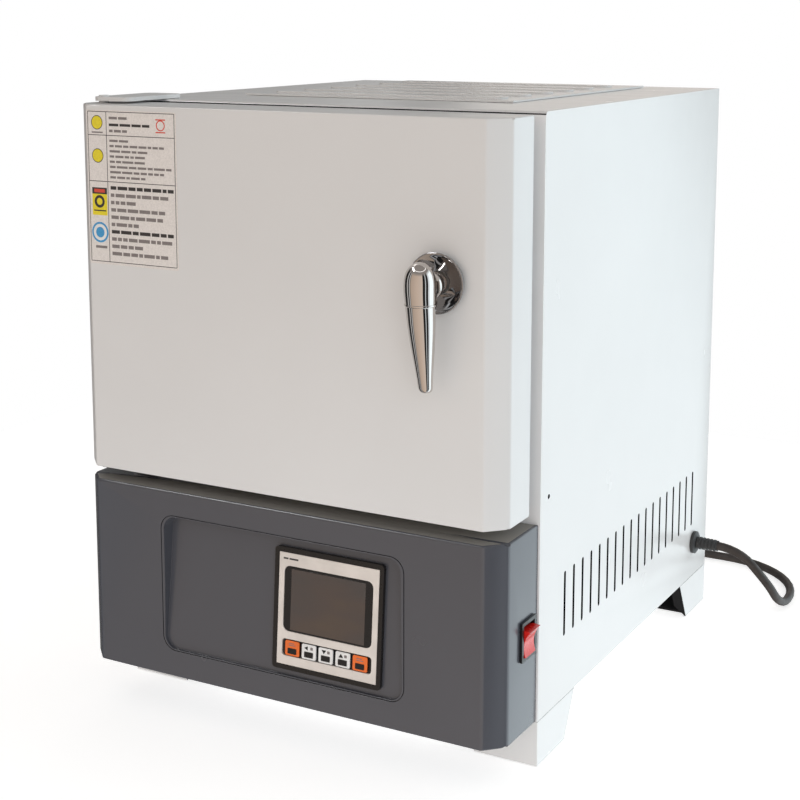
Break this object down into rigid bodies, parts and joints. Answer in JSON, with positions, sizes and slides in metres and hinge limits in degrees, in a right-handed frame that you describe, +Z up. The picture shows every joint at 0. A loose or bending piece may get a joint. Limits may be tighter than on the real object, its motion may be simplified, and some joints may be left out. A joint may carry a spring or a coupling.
{
  "type": "bench-top box kiln",
  "caption": "Bench-top electric box kiln: sheet-metal case on feet, side-hung door with lever handle, control fascia with keys and rocker switch, lined chamber and mains lead.",
  "frame": {"origin": "middle of the object's footprint, at bench level", "axes": "+Z up, -Y towards the door and the user, +X towards the handle and the rocker switch"},
  "size_m": [0.4595, 0.6387, 0.5005],
  "materials": {
    "case_paint": "satin white powder coat",
    "door_paint": "satin pale grey powder coat",
    "fascia_paint": "satin dark grey powder coat",
    "black_plastic": "matt",
    "cream_plastic": "matt",
    "dark_window": "gloss",
    "orange_key": "satin",
    "white_key": "satin",
    "red_plastic": "gloss",
    "plated_steel": "zinc plated",
    "chrome": "polished",
    "bare_metal": "bare",
    "ceramic_fibre": "matt fibre board",
    "rope_seal": "matt woven rope",
    "heating_wire": "oxidised",
    "hearth_ceramic": "matt fired ceramic",
    "black_rubber": "matt"
  },
  "bodies": {
    "case": {"base_pan": "case_paint", "cable_gland": "black_rubber", "control_fascia": "fascia_paint", "controller_bezel": "black_plastic", "controller_face": "cream_plastic", "controller_housing": "black_plastic", "cord_coil": "black_rubber", "display_window": "dark_window", "divider_shelf": "case_paint", "door_seal": "rope_seal", "fan_frame": "black_plastic", "fan_guard": "bare_metal", "foot_front_left": "case_paint", "foot_front_right": "case_paint", "foot_rear_left": "case_paint", "foot_rear_right": "case_paint", "front_frame": "case_paint", "hearth_plate": "hearth_ceramic", "heat_sink": "bare_metal", "heating_element_left": "heating_wire", "heating_element_right": "heating_wire", "hinge_bottom": "plated_steel", "hinge_top": "plated_steel", "latch_keeper": "plated_steel", "lining_back": "ceramic_fibre", "lining_floor": "ceramic_fibre", "lining_left": "ceramic_fibre", "lining_right": "ceramic_fibre", "lining_roof": "ceramic_fibre", "mains_plug": "black_rubber", "power_cord": "black_rubber", "rear_panel": "case_paint", "rocker_frame": "black_plastic", "service_cover": "case_paint", "side_panel_left": "case_paint", "side_panel_right": "case_paint", "solid_state_relay": "black_plastic", "strain_relief": "black_rubber", "terminal_block": "cream_plastic", "thermocouple": "hearth_ceramic", "top_panel": "case_paint"},
    "door": {"door_shell": "door_paint", "door_back_plate": "plated_steel", "door_core": "ceramic_fibre", "door_plug": "ceramic_fibre", "handle_rose": "chrome"},
    "handle": {"handle_lever": "chrome", "handle_spindle": "bare_metal"},
    "rocker": {"rocker": "red_plastic"},
    "fan_rotor": {"fan_rotor": "black_plastic"},
    "key_1": {"key_1": "orange_key"},
    "key_2": {"key_2": "white_key"},
    "key_3": {"key_3": "white_key"},
    "key_4": {"key_4": "white_key"},
    "key_5": {"key_5": "orange_key"}
  },
  "joints": [
    {"name": "door_hinge", "type": "hinge", "parent": "case", "child": "door", "pos_m": [-0.1788, -0.1886, 0.348], "axis": [0, 0, -1], "range_deg": [0, 110]},
    {"name": "handle_turn", "type": "hinge", "parent": "door", "child": "handle", "pos_m": [0.136, -0.2136, 0.3786], "axis": [0, 1, 0], "range_deg": [0, 90]},
    {"name": "rocker_tilt", "type": "hinge", "parent": "case", "child": "rocker", "pos_m": [0.1807, -0.1674, 0.1092], "axis": [0, -1, 0], "range_deg": [0, 20]},
    {"name": "fan_spin", "type": "hinge", "parent": "case", "child": "fan_rotor", "pos_m": [-0.0628, 0.2371, 0.112], "axis": [0, 1, 0], "continuous": true},
    {"name": "key_1_press", "type": "slide", "parent": "case", "child": "key_1", "axis": [0, 0.9971, -0.0767], "range_m": [0, 0.0006], "stiffness_N_per_m": 400},
    {"name": "key_2_press", "type": "slide", "parent": "case", "child": "key_2", "axis": [0, 0.9971, -0.0767], "range_m": [0, 0.0006], "stiffness_N_per_m": 400},
    {"name": "key_3_press", "type": "slide", "parent": "case", "child": "key_3", "axis": [0, 0.9971, -0.0767], "range_m": [0, 0.0006], "stiffness_N_per_m": 400},
    {"name": "key_4_press", "type": "slide", "parent": "case", "child": "key_4", "axis": [0, 0.9971, -0.0767], "range_m": [0, 0.0006], "stiffness_N_per_m": 400},
    {"name": "key_5_press", "type": "slide", "parent": "case", "child": "key_5", "axis": [0, 0.9971, -0.0767], "range_m": [0, 0.0006], "stiffness_N_per_m": 400}
  ]
}
